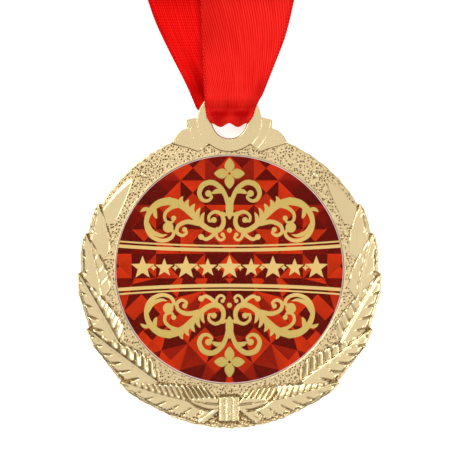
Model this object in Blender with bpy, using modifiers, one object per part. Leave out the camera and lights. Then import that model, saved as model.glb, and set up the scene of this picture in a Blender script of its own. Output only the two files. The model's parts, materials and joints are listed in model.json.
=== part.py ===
"""Souvenir medal on a neck ribbon, lying face up with its ribbon folded into a flat hank above it.

Metres, +Z up. The origin is the centre of the medal's back face, on the surface that it lies on.
+Y runs from the medal's centre to its lug. Angles round the wreath are measured from the bottom
of the medal (-Y), up either side, so that the right branch is at +X and the left one mirrors it.
"""

import math

import bmesh
import bpy
from mathutils import Matrix, Vector

MM = 0.001

# Driving dimensions of the casting
DISC_R = 32.5 * MM  # plain rim between the branches' tips and the lug
FIELD_Z = 2.4 * MM  # grained field between the label and the wreath
WREATH_Z = 3.0 * MM
RIM_BEVEL = 0.35 * MM
WALL_PAST_LEAF = 0.25 * MM  # the rim stands this far outside a leaf's edge
OUTLINE_STEPS = 288

# Label recess and the three layers of the label
LABEL_Y = 2.2 * MM
LABEL_R = 25.0 * MM
RECESS_CLEARANCE = 0.3 * MM
RECESS_Z = 1.6 * MM
LABEL_STEPS = 96
LAYER_GAP = 0.05 * MM
ADHESIVE_T = 0.2 * MM
FOIL_T = 0.2 * MM
FILM_T = 0.15 * MM

# Lug
HOLE_Y = 34.6 * MM
HOLE_R = 3.8 * MM
RING_R = 7.0 * MM
RING_Z = 3.0 * MM
LUG_BACK_Z = 1.3 * MM  # the lug is thinner than the disc, so the ribbon passes under it
LUG_BACK_STEP = 0.08 * MM  # collar and wing are each this much thinner than the piece before
COLLAR_R = 9.3 * MM
COLLAR_Z = 2.8 * MM
COLLAR_TOP_DEG = 6
COLLAR_LOW_DEG = -43
WING_Z = 2.6 * MM

# Back of the casting
BACK_GROOVE_R = (26.5 * MM, 30.5 * MM)
BACK_GROOVE_DEPTH = 0.35 * MM

# Leaves of one branch: root angle, tip angle, root radius, tip radius, inner and outer half-width
LEAVES = (
    (5, 47, 27.7 * MM, 32.5 * MM, 2.5 * MM, 4.6 * MM),
    (36, 71, 27.6 * MM, 32.8 * MM, 2.6 * MM, 4.6 * MM),
    (62, 92.5, 27.9 * MM, 32.9 * MM, 2.7 * MM, 4.4 * MM),
    (84, 108, 28.6 * MM, 32.9 * MM, 2.3 * MM, 3.8 * MM),
    (101, 120, 29.2 * MM, 32.8 * MM, 2.3 * MM, 3.2 * MM),
    (114, 137.5, 29.8 * MM, 30.3 * MM, 2.0 * MM, 2.9 * MM),
)
LEAF_STEPS = 14
BERRY_DEG = 140.5
BERRY_RADIUS_OUT = 29.6 * MM
BERRY_R = 0.8 * MM

# Tie that binds the two branches at the bottom
TIE_Y = (-30.8 * MM, -24.4 * MM)
TIE_WIDTH = 4.6 * MM
TIE_Z = 3.15 * MM
TIE_FLUTES = 3
TIE_FLUTE_R = 0.55 * MM
STEM_END = (6.4 * MM, -31.3 * MM)
STEM_R = 0.5 * MM

# Ribbon, as simple soft solids
RIBBON_WIDTH = 22.0 * MM
GAP = 0.3 * MM
HINGE_Y = 44.5 * MM
HINGE_Z = 1.8 * MM
HINGE_CLEARANCE = 0.5 * MM
BIGHT_LOW_Y = 33.8 * MM
BIGHT_HALF = 3.0 * MM
BIGHT_PLY = 2.4 * MM  # thickness of the gathered ribbon where it turns through the hole
HANK_Y = 76.5 * MM
HANK_HALF_X = 32.2 * MM
HANK_Z = (0.5 * MM, 7.9 * MM)
HANK_ROUND = 2.6 * MM
PAPER_X = (14.0 * MM, 24.0 * MM)
PAPER_T = 0.2 * MM
SEAM_X = (-9.0 * MM, -16.0 * MM)
SEAM_THREAD_R = 0.25 * MM

# Colours
GOLD = (0.83, 0.70, 0.44)
PRINT_RED = (0.62, 0.05, 0.03)
SATIN_RED = (0.80, 0.01, 0.01)


def clear_scene():
    for obj in list(bpy.data.objects):
        bpy.data.objects.remove(obj, do_unlink=True)


def new_collection(name):
    collection = bpy.data.collections.new(name)
    bpy.context.scene.collection.children.link(collection)
    return collection


def material(name, colour, roughness, metallic, alpha=1.0):
    made = bpy.data.materials.new(name)
    made.use_nodes = True
    shader = made.node_tree.nodes["Principled BSDF"]
    shader.inputs["Base Color"].default_value = (*colour, 1.0)
    shader.inputs["Roughness"].default_value = roughness
    shader.inputs["Metallic"].default_value = metallic
    shader.inputs["Alpha"].default_value = alpha
    return made


def add(obj, collection, finish=None):
    """Links obj to a collection and gives it its material."""
    collection.objects.link(obj)
    if finish:
        obj.data.materials.clear()
        obj.data.materials.append(finish)
    return obj


def object_of(name, bm):
    bmesh.ops.recalc_face_normals(bm, faces=bm.faces)
    mesh = bpy.data.meshes.new(name)
    bm.to_mesh(mesh)
    bm.free()
    return bpy.data.objects.new(name, mesh)


def polar(degrees, radius):
    """A point of the wreath: degrees from the bottom of the medal, up its right side."""
    angle = math.radians(degrees)
    return Vector((radius * math.sin(angle), -radius * math.cos(angle)))


def extruded(name, outline, low, high):
    """A flat outline, filled and extruded from low to high, as a mesh object."""
    curve = bpy.data.curves.new(name, "CURVE")
    curve.dimensions = "2D"
    curve.fill_mode = "BOTH"
    curve.extrude = (high - low) / 2
    spline = curve.splines.new("POLY")
    spline.points.add(len(outline) - 1)
    for point, place in zip(spline.points, outline):
        point.co = (place[0], place[1], 0, 1)
    spline.use_cyclic_u = True
    guide = bpy.data.objects.new(name + "_guide", curve)
    guide.location.z = (high + low) / 2
    bpy.context.scene.collection.objects.link(guide)
    bpy.context.view_layer.update()
    graph = bpy.context.evaluated_depsgraph_get()
    mesh = bpy.data.meshes.new_from_object(guide.evaluated_get(graph))
    mesh.transform(guide.matrix_world)
    bpy.data.objects.remove(guide, do_unlink=True)
    bm = bmesh.new()
    bm.from_mesh(mesh)
    bmesh.ops.remove_doubles(bm, verts=bm.verts, dist=1e-7)
    return object_of(name, bm)


def cylinder(name, radius, low, high, centre=(0, 0), steps=96):
    bm = bmesh.new()
    bmesh.ops.create_cone(
        bm, cap_ends=True, segments=steps, radius1=radius, radius2=radius, depth=high - low
    )
    bmesh.ops.translate(bm, verts=bm.verts, vec=(*centre, (low + high) / 2))
    return object_of(name, bm)


def box(name, low, high):
    bm = bmesh.new()
    bmesh.ops.create_cube(bm, size=1)
    low, high = Vector(low), Vector(high)
    bmesh.ops.scale(bm, verts=bm.verts, vec=high - low)
    bmesh.ops.translate(bm, verts=bm.verts, vec=(low + high) / 2)
    return object_of(name, bm)


def mirrored(obj, name):
    """A copy of obj on the other side of the medal's centre line."""
    bm = bmesh.new()
    bm.from_mesh(obj.data)
    bmesh.ops.scale(bm, verts=bm.verts, vec=(-1, 1, 1))
    return object_of(name, bm)


def boolean(obj, other, operation):
    """Adds a Boolean that joins other to obj, or cuts it away, and hides other."""
    modifier = obj.modifiers.new(other.name, "BOOLEAN")
    modifier.operation = operation
    modifier.object = other
    other.hide_render = True
    other.display_type = "WIRE"


def leaf_spine(leaf, u):
    """Angle and radius of a leaf's midrib, from its root at u = 0 to its tip at u = 1."""
    root_deg, tip_deg, root_r, tip_r = leaf[:4]
    bow = u * u * (3 - 2 * u)
    return root_deg + (tip_deg - root_deg) * u, root_r + (tip_r - root_r) * bow


def leaf_widths(leaf, u):
    """Half-widths inside and outside the midrib: a round shoulder at the root, a point at the tip."""
    inner, outer = leaf[4:]
    shoulder = math.sqrt(min(1.0, u / 0.3 * (2 - u / 0.3))) if u < 0.3 else 1.0
    return inner * shoulder * (1 - u**3), outer * shoulder * (1 - u) ** 0.8


def leaf_outline(leaf):
    """Points round a leaf, out along its outer edge and back along its inner one."""
    outer, inner = [], []
    for step in range(LEAF_STEPS + 1):
        u = step / LEAF_STEPS
        degrees, radius = leaf_spine(leaf, u)
        narrow, wide = leaf_widths(leaf, u)
        wide = min(wide, DISC_R + 0.45 * MM - radius)
        outer.append(polar(degrees, radius + max(wide, 0)))
        inner.append(polar(degrees, radius - narrow))
    return outer + inner[-2:0:-1]


def rim_radius(degrees):
    """Radius of the casting's edge: the disc, pushed out where a leaf reaches past it."""
    radius = DISC_R
    for leaf in LEAVES:
        u = (degrees - leaf[0]) / (leaf[1] - leaf[0])
        if 0 < u < 1:
            spine = leaf_spine(leaf, u)[1]
            wide = min(leaf_widths(leaf, u)[1], DISC_R + 0.45 * MM - spine)
            radius = max(radius, spine + wide + WALL_PAST_LEAF)
    return radius


def rim_outline():
    points = []
    for step in range(OUTLINE_STEPS):
        degrees = 360 * step / OUTLINE_STEPS
        folded = degrees if degrees <= 180 else 360 - degrees
        points.append(polar(degrees, rim_radius(folded)))
    return points


def arc(centre, radius, start, end, steps):
    """Points on an arc, with its angles in degrees from +X."""
    points = []
    for step in range(steps + 1):
        angle = math.radians(start + (end - start) * step / steps)
        points.append(Vector((centre[0] + radius * math.cos(angle), centre[1] + radius * math.sin(angle))))
    return points


def lug_pieces(joined):
    """The ring round the hole, with a collar and a wing on each side of it."""
    centre = (0, HOLE_Y)
    overlap = RING_R - 1.5 * MM
    ring = add(cylinder("lug_ring", RING_R, LUG_BACK_Z, RING_Z, centre), joined)
    collar_outline = arc(centre, COLLAR_R, COLLAR_TOP_DEG, COLLAR_LOW_DEG, 12)
    collar_outline += arc(centre, overlap, COLLAR_LOW_DEG, COLLAR_TOP_DEG, 8)
    collar = add(extruded("lug_collar", collar_outline, LUG_BACK_Z + LUG_BACK_STEP, COLLAR_Z), joined)
    shoulder = Vector((8.8 * MM, HOLE_Y - 1.2 * MM))
    corner = Vector((12.4 * MM, HOLE_Y - 5.0 * MM))
    foot = Vector((6.6 * MM, HOLE_Y - 6.8 * MM))
    out = (corner - shoulder).orthogonal().normalized()
    sweep = [
        shoulder.lerp(corner, step / 8) - out * 0.9 * MM * math.sin(math.pi * step / 8)
        for step in range(9)
    ]
    wing_outline = sweep + [foot, Vector((5.6 * MM, HOLE_Y - 4.6 * MM))]
    wing = add(extruded("lug_wing", wing_outline, LUG_BACK_Z + 2 * LUG_BACK_STEP, WING_Z), joined)
    return [
        ring,
        collar,
        wing,
        add(mirrored(collar, "lug_collar_left"), joined),
        add(mirrored(wing, "lug_wing_left"), joined),
    ]


def wreath_pieces(joined):
    """The leaves and berries of both branches."""
    pieces = []
    for number, leaf in enumerate(LEAVES):
        name = f"leaf_{number}"
        pad_top = WREATH_Z - 0.02 * MM * number  # tops differ a little, so no two lie in one plane
        pad = add(extruded(name, leaf_outline(leaf), RIM_BEVEL * 3, pad_top), joined)
        pieces += [pad, add(mirrored(pad, name + "_left"), joined)]
    place = polar(BERRY_DEG, BERRY_RADIUS_OUT)
    berry = add(cylinder("berry", BERRY_R, RIM_BEVEL * 3, WREATH_Z - 0.2 * MM, place, 16), joined)
    return pieces + [berry, add(mirrored(berry, "berry_left"), joined)]


def tie_pieces(joined):
    """A fluted band round the two stems, and the cut end of each stem below it."""
    half = TIE_WIDTH / 2
    band = add(box("tie", (-half, TIE_Y[0], MM), (half, TIE_Y[1], TIE_Z)), joined)
    pitch = TIE_WIDTH / TIE_FLUTES
    for number in range(TIE_FLUTES):
        place = (number - (TIE_FLUTES - 1) / 2) * pitch
        flute = cylinder(f"tie_flute_{number}", TIE_FLUTE_R, -5 * MM, 5 * MM, steps=20)
        lay_along_y(flute, (place, sum(TIE_Y) / 2, TIE_Z + 0.25 * MM))
        boolean(band, add(flute, joined), "DIFFERENCE")
    start = Vector((half - 0.6 * MM, TIE_Y[0] + 3.4 * MM))
    end = Vector(STEM_END)
    side = (end - start).orthogonal().normalized() * STEM_R
    top = [start + side, end + side * 1.6, end - side * 1.6, start - side]
    stem = add(extruded("stem", top, MM, WREATH_Z - 0.15 * MM), joined)
    return [band, stem, add(mirrored(stem, "stem_left"), joined)]


def lay_along_y(obj, place):
    """Turns an upright cylinder to lie along Y, with its middle at place."""
    obj.data.transform(Matrix.Translation(place) @ Matrix.Rotation(math.radians(90), 4, "X"))


def medal_body(parts, joined, finish):
    """The casting: disc, wreath, lug, label recess, hole and sunk ring on its back."""
    body = add(extruded("medal_body", rim_outline(), 0, FIELD_Z), parts, finish)
    bevel = body.modifiers.new("rim", "BEVEL")
    bevel.width = RIM_BEVEL
    bevel.segments = 2
    bevel.limit_method = "ANGLE"
    bevel.angle_limit = math.radians(60)
    for piece in lug_pieces(joined) + wreath_pieces(joined) + tie_pieces(joined):
        boolean(body, piece, "UNION")
    recess_r = LABEL_R + RECESS_CLEARANCE
    recess = cylinder("recess", recess_r, RECESS_Z, 2 * TIE_Z, (0, LABEL_Y), LABEL_STEPS)
    hole = cylinder("hole", HOLE_R, -2 * MM, 2 * TIE_Z, (0, HOLE_Y), 64)
    boolean(body, add(recess, joined), "DIFFERENCE")
    boolean(body, add(hole, joined), "DIFFERENCE")
    boolean(body, add(back_groove(), joined), "DIFFERENCE")


def back_groove():
    """A ring with a square section, which cuts the sunk field on the medal's back."""
    inner, outer = BACK_GROOVE_R
    low, high = -MM, BACK_GROOVE_DEPTH
    bm = bmesh.new()
    corners = [bm.verts.new((x, 0, z)) for x, z in ((outer, low), (outer, high), (inner, high), (inner, low))]
    section = [bm.edges.new((corners[n], corners[(n + 1) % 4])) for n in range(4)]
    bmesh.ops.spin(
        bm,
        geom=corners + section,
        cent=(0, 0, 0),
        axis=(0, 0, 1),
        angle=2 * math.pi,
        steps=LABEL_STEPS,
        use_merge=True,
    )
    return object_of("back_groove", bm)


def label_layers(parts, finishes):
    """Adhesive, printed foil and clear film, from the recess's floor up."""
    floor = RECESS_Z + LAYER_GAP
    layers = (
        ("label_adhesive", ADHESIVE_T, LABEL_R - 0.3 * MM),
        ("label_foil", FOIL_T, LABEL_R),
        ("label_film", FILM_T, LABEL_R - 0.05 * MM),
    )
    for name, thickness, radius in layers:
        disc = cylinder(name, radius, floor, floor + thickness, (0, LABEL_Y), LABEL_STEPS)
        add(disc, parts, finishes[name])
        floor += thickness + LAYER_GAP


def slab(name, sections):
    """A closed strip of cloth through sections of (half-width, centre x, y, low z, high z)."""
    bm = bmesh.new()
    rings = []
    for half, centre, y, low, high in sections:
        corners = ((centre - half, low), (centre + half, low), (centre + half, high), (centre - half, high))
        rings.append([bm.verts.new((x, y, z)) for x, z in corners])
    for near, far in zip(rings, rings[1:]):
        for side in range(4):
            after = (side + 1) % 4
            bm.faces.new((near[side], near[after], far[after], far[side]))
    bm.faces.new(rings[0])
    bm.faces.new(rings[-1])
    return object_of(name, bm)


def ribbon_bight(parts, joined, finish):
    """The gathered stretch that passes through the hole: a ply in front, a turn, and a ply behind."""
    end_y = HINGE_Y - HINGE_CLEARANCE
    ring_end = HOLE_Y + RING_R
    front = slab(
        "ribbon_bight",
        (
            (BIGHT_HALF, 0, BIGHT_LOW_Y, RING_Z + GAP, RING_Z + 1.2 * MM),
            (4.6 * MM, 0, BIGHT_LOW_Y + 2.6 * MM, RING_Z + GAP, RING_Z + 1.4 * MM),
            (5.9 * MM, 0.3 * MM, ring_end, RING_Z + GAP, RING_Z + 1.2 * MM),
            (6.6 * MM, 0.6 * MM, end_y, HINGE_Z + 0.4 * MM, HINGE_Z + 1.1 * MM),
        ),
    )
    behind_top = LUG_BACK_Z - GAP
    behind = slab(
        "bight_behind",
        (
            (BIGHT_HALF, 0, BIGHT_LOW_Y, 0.1 * MM, behind_top),
            (4.6 * MM, -0.5 * MM, BIGHT_LOW_Y + 2.6 * MM, 0.1 * MM, behind_top),
            (6.4 * MM, -2.0 * MM, ring_end, 0.1 * MM, behind_top),
            (7.2 * MM, -2.6 * MM, end_y, 0.1 * MM, 0.8 * MM),
        ),
    )
    low = (-BIGHT_HALF, BIGHT_LOW_Y - 0.05 * MM, 0.2 * MM)
    high = (BIGHT_HALF - 0.05 * MM, BIGHT_LOW_Y + BIGHT_PLY, RING_Z + 1.1 * MM)
    turn = box("bight_turn", low, high)
    add(front, parts, finish)
    boolean(front, add(behind, joined), "UNION")
    boolean(front, add(turn, joined), "UNION")


def ribbon_bands(parts, finish):
    """The two lengths from the hinge line to the hank, the front one leaning right over the other."""
    start = HINGE_Y + HINGE_CLEARANCE
    end = HANK_Y - RIBBON_WIDTH / 2 - 1.1 * MM
    front = (
        (7.0 * MM, 0.9 * MM, start, 1.4 * MM, 2.0 * MM),
        (8.6 * MM, 2.2 * MM, 52.0 * MM, 1.3 * MM, 1.8 * MM),
        (10.8 * MM, 4.2 * MM, end, 1.3 * MM, 1.8 * MM),
    )
    back = (
        (7.6 * MM, -3.0 * MM, start, 0.1 * MM, 0.7 * MM),
        (8.8 * MM, -5.0 * MM, 52.0 * MM, 0.1 * MM, 0.7 * MM),
        (10.8 * MM, -8.0 * MM, end, 0.1 * MM, 0.7 * MM),
    )
    add(slab("ribbon_front_band", front), parts, finish)
    add(slab("ribbon_back_band", back), parts, finish)


def ribbon_hank(parts, finish):
    """The rest of the loop, folded to and fro across the medal's axis into one flat bundle."""
    half_y = RIBBON_WIDTH / 2 + 0.2 * MM
    hank = box(
        "ribbon_hank",
        (-HANK_HALF_X, HANK_Y - half_y, HANK_Z[0]),
        (HANK_HALF_X, HANK_Y + half_y, HANK_Z[1]),
    )
    rounded_ends(hank)
    add(hank, parts, finish)


def rounded_ends(obj):
    """Rounds the edges along Y at both ends of a bundle, where the folds turn over."""
    bm = bmesh.new()
    bm.from_mesh(obj.data)
    along_y = [e for e in bm.edges if abs(e.verts[0].co.y - e.verts[1].co.y) > MM]
    bmesh.ops.bevel(bm, geom=along_y, offset=HANK_ROUND, segments=5, profile=0.5, affect="EDGES")
    bm.to_mesh(obj.data)
    bm.free()


def paper_band(parts, finish):
    """A strip of paper glued round the hank, which keeps it folded."""
    half_y = RIBBON_WIDTH / 2 + 0.2 * MM + GAP
    low = (PAPER_X[0], HANK_Y - half_y - PAPER_T, 0)
    high = (PAPER_X[1], HANK_Y + half_y + PAPER_T, HANK_Z[1] + GAP + PAPER_T)
    band = box("paper_band", low, high)
    inside = box(
        "paper_band_inside",
        (PAPER_X[0] - MM, HANK_Y - half_y, PAPER_T),
        (PAPER_X[1] + MM, HANK_Y + half_y, HANK_Z[1] + GAP),
    )
    return add(band, parts, finish), inside


def seam_threads(parts, finish):
    """Two rows of stitching that join the ribbon's ends, across the top of the hank."""
    top = HANK_Z[1] + GAP + SEAM_THREAD_R
    half = RIBBON_WIDTH / 2 - 1.2 * MM
    for name, x in zip(("seam_thread_outer", "seam_thread_inner"), SEAM_X):
        row = cylinder(name, SEAM_THREAD_R, -half, half, steps=10)
        lay_along_y(row, (x, HANK_Y, top))
        add(row, parts, finish)


def main():
    clear_scene()
    parts = new_collection("medal")
    joined = new_collection("medal_helpers")
    gold = material("gold_plate", GOLD, 0.25, 1.0)
    satin = material("red_satin", SATIN_RED, 0.45, 0.0)
    finishes = {
        "label_adhesive": material("clear_adhesive", (0.85, 0.84, 0.78), 0.6, 0.0),
        "label_foil": material("printed_foil", PRINT_RED, 0.3, 0.4),
        "label_film": material("clear_film", (0.95, 0.95, 0.95), 0.08, 0.0, 0.35),
    }
    medal_body(parts, joined, gold)
    label_layers(parts, finishes)
    ribbon_bight(parts, joined, satin)
    ribbon_bands(parts, satin)
    ribbon_hank(parts, satin)
    band, inside = paper_band(parts, material("paper", (0.9, 0.88, 0.82), 0.8, 0.0))
    boolean(band, add(inside, joined), "DIFFERENCE")
    seam_threads(parts, material("red_thread", (0.55, 0.01, 0.01), 0.6, 0.0))


main()
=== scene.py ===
import json
import math

import bpy
import numpy as np
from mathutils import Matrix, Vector


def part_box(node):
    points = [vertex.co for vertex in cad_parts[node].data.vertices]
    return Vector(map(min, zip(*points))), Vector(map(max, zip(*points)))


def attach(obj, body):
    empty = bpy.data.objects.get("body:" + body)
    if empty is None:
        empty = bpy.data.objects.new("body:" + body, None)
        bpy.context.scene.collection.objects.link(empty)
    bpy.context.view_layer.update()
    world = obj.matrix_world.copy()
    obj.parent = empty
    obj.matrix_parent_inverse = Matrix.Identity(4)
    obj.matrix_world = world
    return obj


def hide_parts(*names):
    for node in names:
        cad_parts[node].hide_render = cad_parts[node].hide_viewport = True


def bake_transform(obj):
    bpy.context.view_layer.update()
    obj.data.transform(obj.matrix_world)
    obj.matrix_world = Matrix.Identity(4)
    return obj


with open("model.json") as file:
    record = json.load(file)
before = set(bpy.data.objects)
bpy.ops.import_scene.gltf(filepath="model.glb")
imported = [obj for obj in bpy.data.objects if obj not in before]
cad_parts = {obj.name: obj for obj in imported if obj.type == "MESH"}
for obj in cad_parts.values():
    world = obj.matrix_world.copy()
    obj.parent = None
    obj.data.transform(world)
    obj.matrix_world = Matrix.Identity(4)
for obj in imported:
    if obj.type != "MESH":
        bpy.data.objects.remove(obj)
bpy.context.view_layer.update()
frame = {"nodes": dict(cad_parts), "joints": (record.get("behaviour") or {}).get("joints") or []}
mm = 0.001
joints = {joint["name"]: joint for joint in frame["joints"]}
holeY = joints["medal_tilt"]["pos_m"][1] / mm
foilLow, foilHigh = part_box("label_foil")
labelY = (foilLow[1] + foilHigh[1]) / 2 / mm
labelR = (foilHigh[0] - foilLow[0]) / 2 / mm
discR = -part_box("medal_body")[0][1] / mm
holeR = 3.8
print("frame loaded")


# Mesh helpers. Lengths in these arrays are millimetres until meshFrom() stores them as metres.


def gridFaces(rows, columns, wrapRows=False, wrapColumns=False):
    # Quads of a grid of points numbered row by row
    down = np.arange(rows if wrapRows else rows - 1)[:, None]
    across = np.arange(columns if wrapColumns else columns - 1)[None, :]
    here, below = down * columns, (down + 1) % rows * columns
    right = (across + 1) % columns
    return np.stack([here + across, here + right, below + right, below + across], axis=-1).reshape(-1, 4)


def fanFaces(first, columns, centre):
    # Triangles from a closed ring of points to one centre point
    ring = np.arange(columns)
    return np.stack([first + ring, first + (ring + 1) % columns, np.full(columns, centre)], axis=-1)


def cappedFaces(rings, steps):
    # A closed shell of rings, whose points are followed by the first ring's centre and the last's
    count = rings * steps
    startCap, endCap = fanFaces(0, steps, count)[:, ::-1], fanFaces(count - steps, steps, count + 1)
    return [gridFaces(rings, steps, wrapColumns=True), startCap, endCap]


def volumeOf(points, faces):
    # Signed volume = sum of a . (b x c) / 6 over the triangles
    total = 0.0
    for group in faces:
        for corner in range(1, group.shape[1] - 1):
            a, b, c = points[group[:, 0]], points[group[:, corner]], points[group[:, corner + 1]]
            total += np.einsum("ij,ij->i", a, np.cross(b, c)).sum() / 6
    return total


def facingOut(points, faces):
    if volumeOf(points, faces) < 0:
        return [group[:, ::-1] for group in faces]
    return faces


def meshFrom(name, points, faces, uv=None, rounded=True):
    # uv gives one (u, v) per point
    mesh = bpy.data.meshes.new(name)
    mesh.from_pydata((np.asarray(points) * mm).tolist(), [], [f for group in faces for f in group.tolist()])
    if rounded:
        mesh.polygons.foreach_set("use_smooth", np.ones(len(mesh.polygons), dtype=bool))
    if uv is not None:
        layer = mesh.uv_layers.new(name="cloth")
        corner = np.empty(len(mesh.loops), dtype=np.int32)
        mesh.loops.foreach_get("vertex_index", corner)
        layer.data.foreach_set("uv", np.asarray(uv)[corner].astype(np.float32).ravel())
    mesh.update()
    made = bpy.data.objects.new(name, mesh)
    bpy.context.collection.objects.link(made)
    return made


def storeShare(made, name, values):
    # One number per point, for the materials
    layer = made.data.attributes.new(name, "FLOAT", "POINT")
    layer.data.foreach_set("value", values.ravel().astype(np.float32))


def thicken(made, thickness):
    change = made.modifiers.new("thickness", "SOLIDIFY")
    change.thickness = thickness * mm
    change.offset = 0
    return change


def smooth(value):
    # 3 t^2 - 2 t^3, held between 0 and 1
    value = np.clip(value, 0, 1)
    return value * value * (3 - 2 * value)


def hump(away, width):
    # exp(-(away / width)^2)
    return np.exp(-((away / width) ** 2))


def lengthAlong(path):
    return np.concatenate([[0], np.cumsum(np.hypot(*np.diff(path, axis=0).T))])


def curveThrough(points, step):
    # Catmull-Rom curve through the points, sampled about every step
    points = np.asarray(points, dtype=float)
    before = np.vstack([2 * points[0] - points[1], points, 2 * points[-1] - points[-2]])
    pieces = []
    for n in range(len(points) - 1):
        a, b, c, d = before[n : n + 4]
        count = max(2, int(np.ceil(np.linalg.norm((c - b)[:2]) / step)))
        t = np.linspace(0, 1, count, endpoint=False)[:, None]
        square, cube = 2 * a - 5 * b + 4 * c - d, 3 * b - a - 3 * c + d
        pieces.append(0.5 * (2 * b + (c - a) * t + square * t**2 + cube * t**3))
    return np.vstack(pieces + [points[-1:]])


# Material helpers


class Wire:
    # A node's output that can stand in a formula: every operator adds one math node
    def __init__(self, socket):
        self.socket = socket
        self.tree = socket.id_data

    def __add__(self, other):
        return calc("ADD", self, other)

    def __sub__(self, other):
        return calc("SUBTRACT", self, other)

    def __mul__(self, other):
        return calc("MULTIPLY", self, other)

    def __truediv__(self, other):
        return calc("DIVIDE", self, other)

    def __rtruediv__(self, other):
        return calc("DIVIDE", other, self)

    def __abs__(self):
        return calc("ABSOLUTE", self)


def plug(node, sockets):
    # Each named or numbered input gets a link, or a plain value
    for key, value in sockets.items():
        if isinstance(value, Wire):
            value.tree.links.new(value.socket, node.inputs[key])
        else:
            node.inputs[key].default_value = value


def addNode(tree, kind, sockets={}, **settings):
    # Settings come first, because some of them change which sockets a node has
    node = tree.nodes.new(kind)
    for key, value in settings.items():
        setattr(node, key, value)
    plug(node, sockets)
    return node


def wire(tree, kind, sockets={}, output=0, **settings):
    return Wire(addNode(tree, kind, sockets, **settings).outputs[output])


def numbered(kind, values, **settings):
    # A node whose inputs are filled in order, in the tree of the first wire among them
    tree = next(value for value in values if isinstance(value, Wire)).tree
    return wire(tree, kind, dict(enumerate(values)), **settings)


def calc(operation, *values):
    return numbered("ShaderNodeMath", values, operation=operation)


def wave(angle):
    # sin(angle) / 2 + 1/2
    return calc("SINE", angle) * 0.5 + 0.5


def vectorOf(*values):
    return numbered("ShaderNodeCombineXYZ", values)


def split(vector):
    return [Wire(socket) for socket in addNode(vector.tree, "ShaderNodeSeparateXYZ", {0: vector}).outputs]


def scaled(vector, factor):
    return wire(vector.tree, "ShaderNodeVectorMath", {0: vector, "Scale": factor}, operation="SCALE")


def noiseAt(place, scale, detail=2):
    return wire(place.tree, "ShaderNodeTexNoise", {"Vector": place, "Scale": scale, "Detail": detail})


def bumpFrom(height, distance, strength=1):
    return wire(height.tree, "ShaderNodeBump", {"Height": height, "Distance": distance, "Strength": strength})


def mix(tree, share, a, b, blend="MIX"):
    # From colour a to colour b by share
    sockets = {"Factor": share, "A": a, "B": b}
    return wire(tree, "ShaderNodeMix", sockets, "Result", data_type="RGBA", blend_type=blend)


def ramp(value, stops, interpolation="LINEAR"):
    node = addNode(value.tree, "ShaderNodeValToRGB", {0: value})
    node.color_ramp.interpolation = interpolation
    elements = node.color_ramp.elements
    while len(elements) < len(stops):
        elements.new(0.5)
    for element, (place, colour) in zip(elements, stops):
        element.position = place
        element.color = (*colour, 1)
    return Wire(node.outputs[0])


def newMaterial(name):
    made = bpy.data.materials.new(name)
    made.use_nodes = True
    return made, made.node_tree, made.node_tree.nodes["Principled BSDF"]


def objectPlace(tree):
    return wire(tree, "ShaderNodeTexCoord", output="Object")


def clothPlace(tree):
    return wire(tree, "ShaderNodeUVMap", uv_map="cloth")


def storedShare(tree, name):
    return wire(tree, "ShaderNodeAttribute", output="Fac", attribute_name=name)


def newGroup(name, inputs, outputs):
    # Place and Normal are vectors, and the rest plain numbers
    tree = bpy.data.node_groups.new(name, "ShaderNodeTree")
    for way, labels in (("INPUT", inputs), ("OUTPUT", outputs)):
        for label in labels:
            kind = "NodeSocketVector" if label in ("Place", "Normal") else "NodeSocketFloat"
            socket = tree.interface.new_socket(name=label, in_out=way, socket_type=kind)
            if way == "INPUT" and kind == "NodeSocketFloat":
                socket.default_value = inputs[label]
    given = addNode(tree, "NodeGroupInput").outputs
    return tree, {label: Wire(given[label]) for label in inputs}, addNode(tree, "NodeGroupOutput")


def useGroup(group, place, **values):
    # The group's outputs by name
    node = addNode(place.tree, "ShaderNodeGroup", {"Place": place, **values}, node_tree=group)
    return {socket.name: Wire(socket) for socket in node.outputs}


def grainGroup():
    # Grained ground: round pits at the middle of random cells, over a fine noise.
    # pits = smoothstep(distance to the cell's point), height = noise - pits
    inputs = {"Place": None, "Size": 1.0, "Mask": 1.0, "Depth": 0.00006}
    tree, given, result = newGroup("grain", inputs, ("Pits", "Normal"))
    place = scaled(given["Place"], 1000 / given["Size"])
    sockets = {"Vector": place, "Scale": 1.0}
    cells = addNode(tree, "ShaderNodeTexVoronoi", sockets, feature="F1", voronoi_dimensions="2D").outputs
    sockets = {"Value": Wire(cells["Distance"]), "From Min": 0.34, "From Max": 0.14}
    pits = wire(tree, "ShaderNodeMapRange", sockets, interpolation_type="SMOOTHSTEP")
    # Every cell has its own depth of pit
    chance = wire(tree, "ShaderNodeSeparateColor", {0: Wire(cells["Color"])})
    pit = pits * (chance * 1.3 + 0.3) * given["Mask"]
    height = noiseAt(place, 2.1, 3) * 1.1 * given["Mask"] - pit
    plug(result, {"Pits": pit, "Normal": bumpFrom(height, given["Depth"])})
    return tree


def wearGroup():
    # Soft handling marks: broad noise for tarnish and fine noise for scuffs, both 0 to 1
    tree, given, result = newGroup("wear", {"Place": None, "Size": 8.0}, ("Tarnish", "Scuffs"))
    place = scaled(given["Place"], 1000 / given["Size"])
    plug(result, {"Tarnish": noiseAt(place, 1.0, 3), "Scuffs": noiseAt(place, 9.0, 5)})
    return tree


grain = grainGroup()
wear = wearGroup()


# The casting. Angles run from the bottom of the medal up either side, so both branches share one formula.

medalLook = {
    "angularSteps": 1200,
    "radialSteps": 50,
    "fieldHeight": 2.4,
    "lipWidth": 0.5,
    "leafHeight": 2.82,
    "tipRise": 0.36,
    "grooveDepth": 0.5,
    "pillow": 0.2,
    "fluteDepth": 0.4,
    "uneven": 0.02,
    "recessFloor": 1.6,
    "recessClearance": 0.03,
    "gold": (0.77, 0.605, 0.335),
    # creaseGold is the darker gold of the grained pits, and the painted shade in grooves and creases
    "creaseGold": (0.24, 0.135, 0.045),
    "roughness": 0.2,
}
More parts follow.
